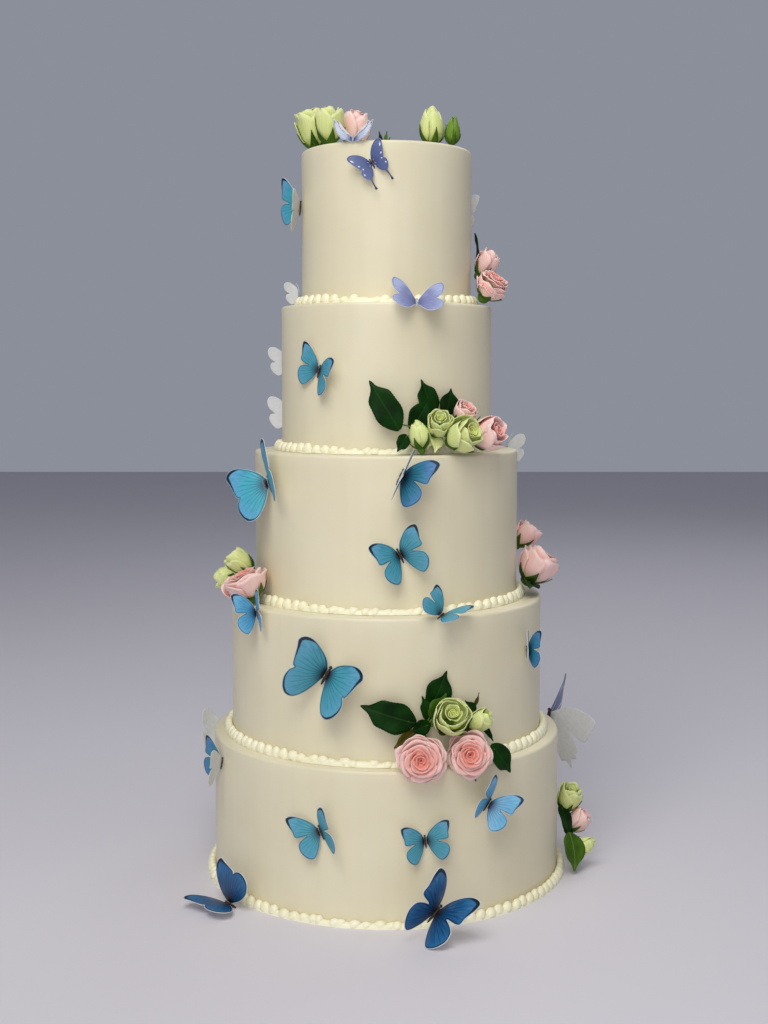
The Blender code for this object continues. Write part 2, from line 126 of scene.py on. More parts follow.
class Value:
    """An output in a material's node tree. A sum on it adds a Math node to the tree."""

    def __init__(self, tree, socket):
        self.tree = tree
        self.socket = socket

    def maths(self, operation, other=0.0):
        return put(self.tree, "Math", {0: self, 1: other}, operation=operation)

    def __add__(self, other):
        return self.maths("ADD", other)

    def __sub__(self, other):
        return self.maths("SUBTRACT", other)

    def __mul__(self, other):
        return self.maths("MULTIPLY", other)

    def __truediv__(self, other):
        return self.maths("DIVIDE", other)

    def __abs__(self):
        return self.maths("ABSOLUTE")

    def ripple(self):
        """The size of the sine: 0 at each half turn, and 1 midway."""
        return abs(self.maths("SINE"))


def put(tree, kind, inputs=None, out=0, **settings):
    """Adds a node, fills its inputs with plain values or other outputs, and returns one of its outputs."""
    made = tree.nodes.new("ShaderNode" + kind)
    for key, value in settings.items():
        setattr(made, key, value)
    for key, value in (inputs or {}).items():
        if isinstance(value, Value):
            tree.links.new(value.socket, made.inputs[key])
        else:
            made.inputs[key].default_value = value
    return Value(tree, made.outputs[out])


def between(x, low, high):
    """0 where x is at low, 1 where it is at high, smooth between. Low may be above high."""
    return put(
        x.tree, "MapRange", {"Value": x, "From Min": low, "From Max": high}, interpolation_type="SMOOTHSTEP"
    )


def blend(share, a, b):
    """Colour a where share is 0 and colour b where it is 1."""
    return put(share.tree, "Mix", {0: share, 6: a, 7: b}, out=2, data_type="RGBA")


def grain(where, scale, detail=3.0, roughness=0.5):
    inputs = {"Vector": where, "Scale": scale, "Detail": detail, "Roughness": roughness}
    return put(where.tree, "TexNoise", inputs)


def stretched(where, scale):
    return put(where.tree, "Mapping", {"Vector": where, "Scale": scale})


def split(where):
    """The first two parts of a vector."""
    first = put(where.tree, "SeparateXYZ", {0: where})
    return first, Value(where.tree, first.socket.node.outputs[1])


class Finish:
    """A material and its Principled shader."""

    def __init__(self, name, roughness, **sockets):
        self.material = bpy.data.materials.new(name)
        self.material.use_nodes = True
        self.tree = self.material.node_tree
        self.shader = self.tree.nodes["Principled BSDF"]
        for key, value in {"Roughness": roughness, **sockets}.items():
            self.shader.inputs[key.replace("_", " ")].default_value = value

    def place(self):
        """Where a point is on its piece, in metres."""
        return put(self.tree, "TexCoord", out=3)

    def mapped(self, name):
        return put(self.tree, "UVMap", uv_map=name)

    def attribute(self, name):
        return put(self.tree, "Attribute", out=2, attribute_name=name)

    def done(self, colour, height=None, strength=0.0, distance=0.0):
        """Sets the colour and, where a height is given, the bumps. Returns the material."""
        self.tree.links.new(colour.socket, self.shader.inputs["Base Color"])
        if height:
            bump = put(self.tree, "Bump", {"Height": height, "Strength": strength, "Distance": distance})
            self.tree.links.new(bump.socket, self.shader.inputs["Normal"])
        return self.material


def icing_finish(name, *tones):
    """Smooth icing: a slight mottle, faint upright scraper marks and a soft satin shine."""
    tone, mottle = screen_tones(tones)
    finish = Finish(name, 0.42, Subsurface_Weight=0.12, Subsurface_Radius=(0.008, 0.006, 0.004))
    where = finish.place()
    marks = grain(stretched(where, (70, 70, 5)), 1.0, 2.0)
    share = grain(where, 9.0) * 0.75 + marks * 0.25
    colour = blend(between(share, 0.35, 0.65), tone, mottle)
    return finish.done(colour, marks * 0.5 + grain(where, 420.0, 2.0) * 0.14, 0.25, 0.0006)


def paper_underside(name, *tones):
    """The unprinted side of the paper, nearly white, with faint fibres."""
    finish = Finish(name, 0.6)
    fibres = grain(finish.place(), 260.0)
    return finish.done(blend(between(fibres, 0.3, 0.7), *screen_tones(tones)), fibres, 0.1, 0.0002)


# How many veins, and on a dotted wing how many dots, there would be in half a turn about its root.
# The dots stand this far in from the edge, in wing lengths.
VEINS = 19.0
DOTS = 9.0
DOT_INSET = 0.1


def wing_print(name, tones, margin_width=0.024, tip_width=0.06, vein=0.6, streak=0.2, dots=None):
    """A printed wing. Its map is (outward, forward) in wing lengths, and "edge" how far in from its edge."""
    root, middle, outer, margin, rim = screen_tones(tones)
    finish = Finish(name, 0.38)
    on_wing = finish.mapped("wing_map")
    out, forward = split(on_wing)
    edge = finish.attribute("edge")
    reach = put(finish.tree, "VectorMath", {0: on_wing}, out=1, operation="LENGTH")
    angle = forward.maths("ARCTAN2", out)
    fan = put(finish.tree, "CombineXYZ", {0: angle * 9.0, 1: reach * 2.2})
    streaks = grain(fan, 1.6, 4.0, 0.6)
    soft = grain(on_wing, 3.0, 2.0)
    inner = blend(between(reach, 0.08, 0.42), root, middle)
    whole = blend(between(reach + soft * 0.3, 0.62, 1.1), inner, outer)
    lit = blend(between(streaks, 0.45, 0.75) * streak, whole, rim)
    dark = blend(between(streaks, 0.5, 0.25) * 0.3, lit, root)
    off_vein = ((angle + soft * 0.06) * VEINS).ripple() * (reach / VEINS)
    on_vein = between(off_vein, 0.0125, 0.002) * between(reach, 1.15, 0.25)
    veined = blend(on_vein * vein, dark, margin)
    width = (between(reach, 0.82, 1.08) * tip_width + margin_width) * (streaks * 1.2 + 0.4)
    printed = blend(between(edge - width, 0.022, -0.012), veined, margin)
    if dots:
        spot = between((angle * DOTS).ripple(), 0.90, 0.96) * between(abs(edge - DOT_INSET), 0.035, 0.022)
        printed = blend(spot * between(abs(angle), 0.8, 0.7), printed, srgb(*dots))
    rooted = blend(between(reach, 0.17, 0.07), printed, margin)
    return finish.done(blend(between(edge, 0.018, 0.008), rooted, rim), on_vein, 0.25, 0.0003)


def speckled_finish(name, roughness, scale, detail, *tones):
    """A plain surface that wavers between two tones."""
    finish = Finish(name, roughness)
    return finish.done(blend(grain(finish.place(), scale, detail), *screen_tones(tones)))


def petal_finish(name, *tones):
    """A petal: "rim" runs from its foot to its edge, and "layer" from the rose's heart to the outside."""
    foot, deep, pale, rim, vein = screen_tones(tones)
    finish = Finish(
        name, 0.5, Subsurface_Weight=0.35, Subsurface_Radius=(0.004, 0.0025, 0.002), Specular_IOR_Level=0.3
    )
    rim_share = finish.attribute("rim")
    layer = finish.attribute("layer")
    lines = grain(stretched(finish.mapped("petal_map"), (26, 2.0, 1)), 1.0)
    clouds = grain(finish.place(), 90.0)
    flesh = blend(between(layer + (clouds - 0.5) * 0.5, 0.15, 0.95), deep, pale)
    footed = blend(between(rim_share, 0.5, 0.1) * layer, flesh, foot)
    lined = blend(between(lines, 0.42, 0.7) * 0.35, footed, vein)
    edged = blend(between(rim_share + clouds * 0.08, 0.86, 1.06) * 0.45, lined, rim)
    return finish.done(edged, lines, 0.3, 0.0004)


def leaf_finish(name, *tones):
    """A leaf: a pale midrib, side veins that slant to the tip and a waxy shine."""
    blade, shade, rib = screen_tones(tones)
    finish = Finish(name, 0.5, Specular_IOR_Level=0.12)
    along, across = split(finish.mapped("leaf_map"))
    across = abs(across)
    base = blend(between(grain(finish.place(), 60.0), 0.35, 0.65), blade, shade)
    rows = ((along - across * 0.28) * 26.0).ripple()
    veins = (between(rows, 0.16, 0.02) * 0.45).maths("MAXIMUM", between(across, 0.07, 0.02))
    return finish.done(blend(veins * 0.55, base, rib), veins * -1.0 + 1.0, 0.35, 0.0005)


ICING = icing_finish("ivory icing", (237, 229, 200), (232, 223, 192))
PIPING = icing_finish("cream piping", (254, 249, 219), (252, 246, 211))
UNDERSIDE = paper_underside("paper underside", (221, 223, 226), (212, 215, 219))
# Each print's colours on screen: at the wing's root, in its middle, towards its edge,
# in its margin and veins, and along the cut edge of the paper.
WING_INKS = {
    "turquoise": ((22, 96, 118), (66, 176, 196), (98, 172, 212), (36, 32, 52), (150, 204, 220)),
    "teal": ((22, 88, 110), (70, 162, 182), (94, 168, 198), (34, 28, 36), (150, 196, 212)),
    "sky": ((28, 84, 130), (84, 164, 206), (110, 182, 222), (44, 44, 66), (180, 214, 234)),
    "deep": ((14, 60, 84), (52, 136, 164), (76, 128, 182), (26, 24, 34), (140, 190, 212)),
    "navy": ((4, 34, 70), (10, 80, 132), (34, 106, 158), (8, 16, 32), (206, 222, 238)),
    "violet": ((62, 74, 120), (90, 104, 152), (98, 112, 160), (58, 66, 108), (128, 140, 184)),
    "lilac": ((84, 94, 144), (124, 132, 180), (160, 172, 212), (104, 110, 162), (222, 226, 240)),
    "pearl": ((70, 84, 140), (196, 204, 228), (214, 220, 236), (92, 104, 152), (236, 238, 246)),
    "white": ((176, 184, 194), (206, 211, 214), (216, 220, 223), (176, 184, 192), (236, 239, 242)),
}
WING_MARKS = {
    "navy": {"margin_width": 0.03, "tip_width": 0.05, "vein": 0.9, "streak": 0.08},
    "violet": {"margin_width": 0.02, "tip_width": 0.03, "vein": 0.35, "streak": 0.0, "dots": (232, 238, 252)},
    "lilac": {"margin_width": 0.02, "tip_width": 0.02, "vein": 0.5},
    "pearl": {"margin_width": 0.03, "tip_width": 0.0, "vein": 1.0},
    "white": {"margin_width": 0.01, "tip_width": 0.0, "vein": 0.3},
}
WING_PRINTS = {
    ink: wing_print(ink + " wing print", tones, **WING_MARKS.get(ink, {})) for ink, tones in WING_INKS.items()
}
BODY = speckled_finish("butterfly body", 0.6, 500.0, 2.0, (34, 26, 26), (58, 44, 40))
PALE_BODY = speckled_finish("pale butterfly body", 0.6, 500.0, 2.0, (160, 166, 178), (190, 196, 206))
PALE_INKS = ("white", "lilac", "pearl")
# A petal's colours on screen: its foot, the heart of the rose, its outer petals, the rim and the veins.
PETALS = {
    "pink": petal_finish(
        "pink petal", (240, 222, 180), (234, 130, 110), (255, 214, 208), (255, 236, 228), (248, 184, 172)
    ),
    "green": petal_finish(
        "green petal", (160, 184, 80), (208, 218, 100), (226, 234, 160), (240, 242, 196), (184, 202, 110)
    ),
}
CLOSED_BUD = petal_finish(
    "closed bud", (52, 84, 22), (84, 120, 30), (112, 148, 42), (132, 162, 66), (70, 104, 26)
)
SEPAL = leaf_finish("sepal", (72, 106, 30), (50, 86, 20), (96, 130, 48))
LEAF_FINISHES = {
    "dark": leaf_finish("dark leaf", (10, 55, 4), (3, 37, 1), (38, 76, 22)),
    "young": leaf_finish("young leaf", (74, 106, 26), (52, 86, 18), (118, 146, 66)),
    "olive": leaf_finish("olive leaf", (76, 70, 16), (58, 50, 10), (110, 106, 50)),
    "petal": leaf_finish("drooping petal", (236, 236, 176), (222, 228, 152), (242, 242, 200)),
}


# Pieces

def deselect():
    bpy.ops.object.select_all(action="DESELECT")


def settle(piece, node):
    """Makes a finished piece ride on the cake and stand for its CAD node."""
    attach(piece, "root")
    if node:
        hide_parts(node)
    return piece


def piece_from(name, bm, materials, smooth_angle=60):
    mesh = bpy.data.meshes.new(name)
    bm.to_mesh(mesh)
    bm.free()
    mesh.shade_smooth()
    mesh.set_sharp_from_angle(angle=math.radians(smooth_angle))
    for material in materials:
        mesh.materials.append(material)
    made = bpy.data.objects.new(name, mesh)
    bpy.context.scene.collection.objects.link(made)
    return made


def skin(bm, rows, flat, uv_layer, flip=False):
    """Fills a grid of points with faces, and writes each point's flat place into the map."""
    for lower, upper in zip(rows, rows[1:]):
        for k in range(len(lower) - 1):
            corners = (lower[k], lower[k + 1], upper[k + 1], upper[k])
            face = bm.faces.new(reversed(corners) if flip else corners)
            for loop in face.loops:
                loop[uv_layer].uv = flat[loop.vert]


def moulded_ball(segments, rings, mould, finish=None):
    """A round ball whose every point is moved by the mould."""
    deselect()
    bpy.ops.mesh.primitive_uv_sphere_add(segments=segments, ring_count=rings, radius=1, location=(0, 0, 0))
    ball = bpy.context.object
    for v in ball.data.vertices:
        v.co = mould(v.co)
    ball.data.shade_smooth()
    if finish:
        ball.data.materials.append(finish)
    return ball


def applied(piece, kind, **settings):
    """Adds a modifier to a piece and applies it."""
    deselect()
    piece.select_set(True)
    bpy.context.view_layer.objects.active = piece
    modifier = piece.modifiers.new(kind.title(), kind)
    for key, value in settings.items():
        setattr(modifier, key, value)
    bpy.ops.object.modifier_apply(modifier=modifier.name)
    return piece


def joined(name, parts):
    """Joins finished parts into one piece."""
    deselect()
    for part in parts:
        part.select_set(True)
    bpy.context.view_layer.objects.active = parts[0]
    if len(parts) > 1:
        bpy.ops.object.join()
    made = bpy.context.view_layer.objects.active
    made.name = made.data.name = name
    return made


def select(piece, kind, wanted):
    """Selects the edges or the faces that pass a test, in edit mode."""
    bpy.ops.mesh.select_all(action="DESELECT")
    bpy.ops.mesh.select_mode(type=kind)
    bm = bmesh.from_edit_mesh(piece.data)
    for part in bm.edges if kind == "EDGE" else bm.faces:
        part.select_set(wanted(part))
    bmesh.update_edit_mesh(piece.data)


def iced_tier(tier):
    """One iced cake: a drum with a softened rim, whose wall and top are never quite even."""
    radius, top = TIER_RADII[tier], TIER_TOPS[tier]
    floor = tier_floor(tier) + (GAP if tier else 0)
    deselect()
    bpy.ops.mesh.primitive_cylinder_add(
        vertices=TIER_SIDES, radius=radius, depth=top - floor, location=(0, 0, (top + floor) / 2)
    )
    cake = bpy.context.object
    bpy.ops.object.transform_apply(location=True, rotation=False, scale=False)
    bpy.ops.object.mode_set(mode="EDIT")
    select(cake, "EDGE", lambda edge: all(v.co.z > top - GAP for v in edge.verts))
    bpy.ops.mesh.bevel(offset=RIM_ROUNDING, segments=4, profile=0.5, affect="EDGES")
    for row in range(1, WALL_ROWS):
        bpy.ops.mesh.select_all(action="SELECT")
        level = floor + (top - RIM_ROUNDING - floor) * row / WALL_ROWS
        bpy.ops.mesh.bisect(plane_co=(0, 0, level), plane_no=(0, 0, 1))
    select(cake, "FACE", lambda face: face.normal.z > 0.99)
    for _ in range(TOP_RINGS):
        bpy.ops.mesh.inset(thickness=radius / (TOP_RINGS + 1))
    bpy.ops.object.mode_set(mode="OBJECT")
    for v in cake.data.vertices:
        from_axis = math.hypot(v.co.x, v.co.y)
        if v.co.z > top - RIM_ROUNDING * 0.5 and from_axis < radius * 0.97:
            v.co.z += ICING_WAVE * 0.6 * noise.noise(v.co * TOP_SWELLS)
        elif v.co.z > floor + GAP:
            swell = ICING_WAVE * (noise.noise(v.co * SWELLS) + 0.4 * noise.noise(v.co * FINE_SWELLS))
            v.co.x *= 1 + swell / from_axis
            v.co.y *= 1 + swell / from_axis
    cake.data.shade_smooth()
    cake.data.set_sharp_from_angle(angle=math.radians(60))
    cake.data.materials.append(ICING)
    cake.name = cake.data.name = f"iced_tier_{tier + 1}"
    return settle(cake, f"tier_{tier + 1}")


def piped_bead():
    """One bead as it leaves the nozzle: a round drop on a broad foot, drawn to a soft point."""
    def drop(p):
        up = (max(p.z, -0.4 + (p.z + 0.4) * 0.25) + 0.55) / 1.55
        taper = 1.06 - 0.16 * up
        return Vector((p.x * taper, p.y * taper, up))
    bead = moulded_ball(12, 8, drop)
    mesh = bead.data
    bpy.data.objects.remove(bead)
    return mesh


def smear_ring(radius, floor, steps, chance):
    """The low ring of piping that the beads sit in, uneven in height and width, as a bmesh."""
    deselect()
    bpy.ops.mesh.primitive_torus_add(
        major_radius=1, minor_radius=0.25, major_segments=steps, minor_segments=10, location=(0, 0, 0)
    )
    ring = bpy.context.object
    bpy.ops.object.mode_set(mode="EDIT")
    bpy.ops.mesh.select_all(action="SELECT")
    bpy.ops.mesh.bisect(plane_co=(0, 0, 0), plane_no=(0, 0, 1), use_fill=True, clear_inner=True)
    bpy.ops.object.mode_set(mode="OBJECT")
    bm = bmesh.new()
    bm.from_mesh(ring.data)
    bpy.data.objects.remove(ring)
    shift = chance.uniform(0, 50)
    for v in bm.verts:
        around = math.atan2(v.co.y, v.co.x)
        from_middle = (math.hypot(v.co.x, v.co.y) - 1) / 0.25
        up = v.co.z / 0.25
        lump = noise.noise(Vector((math.cos(around) * 16, math.sin(around) * 16, shift)))
        reach = radius + BEAD_DEPTH * (0.46 + 0.46 * from_middle * (1 + 0.12 * lump))
        reach = max(reach, radius + GAP)
        v.co = Vector((
            math.cos(around) * reach, math.sin(around) * reach, floor + SMEAR_HEIGHT * up * (1 + 0.45 * lump)
        ))
    return bm


def piped_border(tier, bead):
    """The ring of beads round a tier's foot, in a low smear. It is lower and rougher at the front."""
    radius = TIER_RADII[tier]
    floor = tier_floor(tier) + (GAP if tier else 0)
    beads = 2 * round(math.tau * (radius + GAP) / BEAD_PITCH / 2)
    chance = random.Random(40 + tier)
    bm = smear_ring(radius, floor, beads * 2, chance)
    for k in range(beads):
        azimuth = 360 * k / beads
        from_front = min(azimuth, 360 - azimuth)
        roughness = 1 - 0.6 * ease(*ROUGH_TO_EVEN, from_front)
        full = FRONT_BEAD_HEIGHT + (BEAD_HEIGHT - FRONT_BEAD_HEIGHT) * ease(*LOW_TO_FULL, from_front)
        across = BEAD_PITCH * 0.58 * (1 + chance.uniform(-0.16, 0.12) * roughness)
        height = full * (0.93 + chance.uniform(-0.22, 0.10) * roughness)
        depth = BEAD_DEPTH * 0.5 * (1 + chance.uniform(-0.14, 0.03) * roughness)
        azimuth += chance.uniform(-1.1, 1.1) * roughness
        place = at(azimuth, radius + depth, floor - 0.2 * MM * (tier > 0))
        lean = (0.22 + chance.uniform(-0.2, 0.2) * roughness) * across
        shape = Matrix(((depth, 0, -0.12 * depth, 0), (0, across, lean, 0), (0, 0, height, 0), (0, 0, 0, 1)))
        turn = Matrix.Rotation(math.radians(azimuth - 90), 4, "Z")
        start = len(bm.verts)
        bm.from_mesh(bead)
        bm.verts.ensure_lookup_table()
        bmesh.ops.transform(bm, matrix=Matrix.Translation(place) @ turn @ shape, verts=bm.verts[start:])
        foot = Vector((place.x, place.y, floor))
        for v in bm.verts[start:]:
            swell = 1 + 0.10 * roughness * noise.noise(v.co * BEAD_SWELLS)
            v.co = foot + (v.co - foot) * swell
    for v in bm.verts:
        v.co.z = max(v.co.z, floor)
        from_axis = math.hypot(v.co.x, v.co.y)
        if from_axis < radius + GAP:
            v.co.x *= (radius + GAP) / from_axis
            v.co.y *= (radius + GAP) / from_axis
    made = piece_from(f"piped_border_{tier + 1}", bm, [PIPING])
    return settle(made, f"border_{tier + 1}")


# Butterflies. A wing's outline from the front of its root round to the back, as (outward, forward)
# in wing lengths. The number is which point is the notch between the front and the hind wing.
WINGS = {
    "morpho": (
        7,
        (
            (0.18, 0.36), (0.45, 0.61), (0.70, 0.74), (0.89, 0.72), (0.91, 0.56), (0.84, 0.30),
            (0.80, 0.08), (0.46, 0.03), (0.64, -0.03), (0.79, -0.14), (0.82, -0.36), (0.68, -0.60),
            (0.46, -0.68), (0.22, -0.42),
        ),
    ),
    "broad": (
        7,
        (
            (0.18, 0.33), (0.40, 0.51), (0.67, 0.66), (0.88, 0.67), (0.99, 0.55), (0.94, 0.36),
            (0.85, 0.00), (0.78, -0.06), (0.86, -0.17), (0.88, -0.36), (0.80, -0.58), (0.65, -0.71),
            (0.44, -0.68), (0.22, -0.44),
        ),
    ),
    "swallowtail": (
        6,
        (
            (0.20, 0.40), (0.46, 0.62), (0.76, 0.72), (0.92, 0.62), (0.84, 0.34), (0.70, 0.04),
            (0.62, -0.10), (0.70, -0.24), (0.66, -0.46), (0.48, -0.64), (0.22, -0.50),
        ),
    ),
    "pale": (
        6,
        (
            (0.24, 0.38), (0.56, 0.60), (0.84, 0.62), (0.97, 0.44), (0.90, 0.16), (0.70, -0.01),
            (0.60, -0.06), (0.80, -0.13), (0.84, -0.34), (0.68, -0.58), (0.44, -0.70), (0.18, -0.48),
        ),
    ),
    "slender": (
        6,
        (
            (0.20, 0.36), (0.46, 0.68), (0.72, 0.86), (0.89, 0.88), (0.95, 0.66), (0.88, 0.34),
            (0.70, 0.10), (0.82, 0.04), (0.92, -0.10), (0.88, -0.30), (0.64, -0.48), (0.34, -0.44),
        ),
    ),
    "dovetail": (
        5,
        (
            (0.26, 0.10), (0.56, 0.03), (0.84, -0.22), (1.00, -0.55), (1.08, -0.94),
            (0.94, -0.74), (0.84, -0.88), (0.70, -0.54), (0.46, -0.36), (0.22, -0.24),
        ),
    ),
    "sail": (
        6,
        (
            (0.20, 0.26), (0.46, 0.42), (0.78, 0.46), (1.08, 0.41), (1.00, 0.06), (0.86, -0.24),
            (0.47, -0.16), (0.64, -0.34), (0.74, -0.52), (0.70, -0.64), (0.73, -0.74), (0.62, -0.82),
            (0.64, -1.02), (0.50, -0.92), (0.36, -0.94), (0.20, -0.56),
        ),
    ),
}
TAIL = ((0.42, -0.50), (0.45, -0.76), (0.46, -0.98), (0.46, -1.14))
TAIL_HALF_WIDTHS = (0.07, 0.035, 0.03, 0.06)
TAIL_EDGE = 0.03
WING_ROOTS = ((0.05, 0.14), (0.05, -0.10))
WING_ROWS = 10
EDGE_STEPS = 6
CAMBER = 0.06

Butterfly = namedtuple(
    "Butterfly", "kind paper ink azimuth height size heading tilt left right radius", defaults=(None,)
)
# Height, size and radius are in millimetres, and size is a wing's length.
# A butterfly with no radius rests on the wall.
# Heading is the head's turn from straight up, clockwise as seen from outside.
# Tilt turns its back up from facing straight out. Left and right are how far each wing is raised.
BUTTERFLIES = [Butterfly(*row) for row in (
    ("dovetail", "lilac", "pearl", -21.5, 728, 19, 184, 4, 10, 10),
    ("swallowtail", "violet", "violet", -9.2, 705, 21.5, -32, 2, 24, 16),
    ("morpho", "blue", "turquoise", -82, 673, 32, 21, 3, 40, 20),
    ("morpho", "white", "white", 124, 676, 26, -10, 0, 45, 45),
    ("slender", "lilac", "lilac", 15.1, 574, 27.5, 11, 44, 14, 18, 109),
    ("morpho", "blue", "teal", -36.7, 510.8, 28.5, 22, -4, 2, 27),
    ("pale", "white", "white", -110, 468, 25, -8, 0, 40, 60),
    ("pale", "white", "white", -112, 592, 17, 0, 0, 40, 55, 97),
    ("broad", "blue", "turquoise", -56.5, 402.5, 43.5, -34, 3, 38, 26),
    ("morpho", "blue", "deep", 5.5, 413.5, 35.5, 26, 3, 84, 34),
    ("morpho", "blue", "teal", 5.3, 340, 32.5, -26, -4, 36, 29),
    ("pale", "white", "white", 109, 431, 22, 0, 5, 45, 50),
    ("morpho", "blue", "teal", 18.4, 285.6, 28, 47, 67, 44, 24, 159),
    ("morpho", "blue", "sky", -50.7, 280, 28, -15, 0, 82, 25),
    ("broad", "blue", "teal", -20.2, 230.5, 43.5, 30, 2, 42, 30),
    ("morpho", "blue", "deep", 58.9, 239, 25, 13, 8, 27, 114),
    ("sail", "white", "violet", 104, 142, 52, -22, 4, 36, 39),
    ("pale", "white", "white", -103, 125, 34, -25, 0, 20, 30),
    ("morpho", "blue", "deep", -65.5, 125, 28, 13, 4, 28, 46),
    ("morpho", "blue", "teal", -19.8, 87, 31, -24, 2, 8, 44),
    ("morpho", "blue", "teal", 11.5, 80.5, 27, -8, -2, 20, 22),
    ("morpho", "blue", "sky", 31.8, 108, 30, 43, 6, 36, 42),
    ("broad", "navy", "navy", -49.2, 2, 39.5, -88, 42, 60, 36, 198),
    ("morpho", "navy", "navy", 12.6, 19.5, 43, 45, 13, 38, 64, 203),
)]
# A pale one that shows only a wing tip past the left edge.
HIDDEN_BUTTERFLY = Butterfly("pale", "white", "white", -108, 522, 22, 0, 0, 40, 60)


def cake_reach(height):
    """How far the tiers and their borders reach from the axis at a height."""
    for tier, top in enumerate(TIER_TOPS):
        if height <= top:
            in_border = height - tier_floor(tier) < BEAD_HEIGHT + GAP
            return TIER_RADII[tier] + (BEAD_DEPTH if in_border else 0)
    return 0.0


def through(points, steps):
    """A smooth line through the points, which starts at the first and ends at the last."""
    line = []
    for k in range(len(points) - 1):
        p1, p2 = Vector(points[k]), Vector(points[k + 1])
        p0 = Vector(points[k - 1]) if k else p1 * 2 - p2
        p3 = Vector(points[k + 2]) if k + 2 < len(points) else p2 * 2 - p1
        for step in range(steps):
            t = step / steps
            line.append(
                0.5 * (2 * p1 + (p2 - p0) * t + (2 * p0 - 5 * p1 + 4 * p2 - p3) * t * t
                       + (3 * p1 - p0 - 3 * p2 + p3) * t ** 3)
            )
    line.append(Vector(points[-1]))
    return line


def wing_outline(kind):
    """A wing's smooth edge from root to root, with a sharp notch between its two halves."""
    notch, points = WINGS[kind]
    front = through([WING_ROOTS[0], *points[:notch + 1]], EDGE_STEPS)
    hind = through([*points[notch:], WING_ROOTS[1]], EDGE_STEPS)
    return front + hind[1:]


def off_edge(point, line):
    """How far a point is from a line of points."""
    best = 9.0
    for a, b in zip(line, line[1:]):
        ab = b - a
        t = max(0.0, min(1.0, (point - a).dot(ab) / max(ab.length_squared, 1e-12)))
        best = min(best, (a + ab * t - point).length)
    return best


WING_PATTERNS = {}


def wing_pattern(kind):
    """The flat wing as rows of (place, distance from the edge), worked out once for each kind."""
    if kind not in WING_PATTERNS:
        line = wing_outline(kind)
        rows = []
        for row in range(WING_ROWS + 1):
            t = 1 - (1 - row / WING_ROWS) ** 1.5
            places = []
            for k, rim in enumerate(line):
                start = Vector(WING_ROOTS[0]).lerp(Vector(WING_ROOTS[1]), k / (len(line) - 1))
                place = start.lerp(rim, t)
                places.append((place, off_edge(place, line)))
            rows.append(places)
        WING_PATTERNS[kind] = rows
    return WING_PATTERNS[kind]


def wing_point(place, size, raised, side):
    """A point of the flat wing, raised about its root and curved a little."""
    lean = math.radians(raised)
    bow = CAMBER * math.sin(min(1.0, max(0.0, place.x)) * math.pi)
    out, up = place.x, bow
    return Vector((
        side * (out * math.cos(lean) - up * math.sin(lean)),
        place.y,
        out * math.sin(lean) + up * math.cos(lean),
    )) * size


def wing_sheet(name, kind, size, raised, side, ink):
    """One printed paper wing with its own thickness and a plain underside."""
    bm = bmesh.new()
    edge_layer = bm.verts.layers.float.new("edge")
    wing_map = bm.loops.layers.uv.new("wing_map")
    flat = {}

    def point(place, edge):
        v = bm.verts.new(wing_point(place, size, raised, side))
        v[edge_layer] = edge
        flat[v] = place
        return v
    grid = [[point(place, edge) for place, edge in places] for places in wing_pattern(kind)]
    if kind == "swallowtail":
        tail = [
            [point(Vector((x + step, y)), TAIL_EDGE) for step in (-half, half)]
            for (x, y), half in zip(TAIL, TAIL_HALF_WIDTHS)
        ]
        skin(bm, tail, flat, wing_map, flip=side > 0)
    skin(bm, grid, flat, wing_map, flip=side < 0)
    wing = piece_from(name, bm, [WING_PRINTS[ink], UNDERSIDE])
    applied(wing, "SOLIDIFY", thickness=PAPER_THICKNESS, offset=-1, material_offset=1, material_offset_rim=1)
    return wing


def butterfly_body(name, size, finish):
    """A slim body with a waist and a round head, drawn out of two balls."""
    def trunk(p):
        girth = 0.040 if p.z > 0 else 0.034
        girth *= 1 - 0.25 * math.exp(-((p.z - 0.05) / 0.12) ** 2)
        return Vector((p.x * girth, p.z * 0.22 - 0.05, p.y * girth)) * size

    def head(p):
        return Vector((p.x * 0.036, p.z * 0.036 + 0.18, p.y * 0.034)) * size
    return joined(name, [moulded_ball(12, 12, trunk, finish), moulded_ball(10, 8, head, finish)])


def stem(name, points, girth, end_girth, sides=6):
    """A thin closed tube along the points."""
    bm = bmesh.new()
    rings = []
    for k, point in enumerate(points):
        before, after = points[max(0, k - 1)], points[min(len(points) - 1, k + 1)]
        along = (after - before).normalized()
        turn = along.to_track_quat("Z", "Y").to_matrix()
        width = girth + (end_girth - girth) * k / (len(points) - 1)
        rings.append([
            bm.verts.new(point + turn @ Vector((math.cos(a), math.sin(a), 0)) * width)
            for a in (math.tau * s / sides for s in range(sides))
        ])
    for lower, upper in zip(rings, rings[1:]):
        for k in range(sides):
            bm.faces.new((lower[k - 1], lower[k], upper[k], upper[k - 1]))
    bm.faces.new(reversed(rings[0]))
    bm.faces.new(rings[-1])
    bmesh.ops.recalc_face_normals(bm, faces=bm.faces)
    return piece_from(name, bm, [])


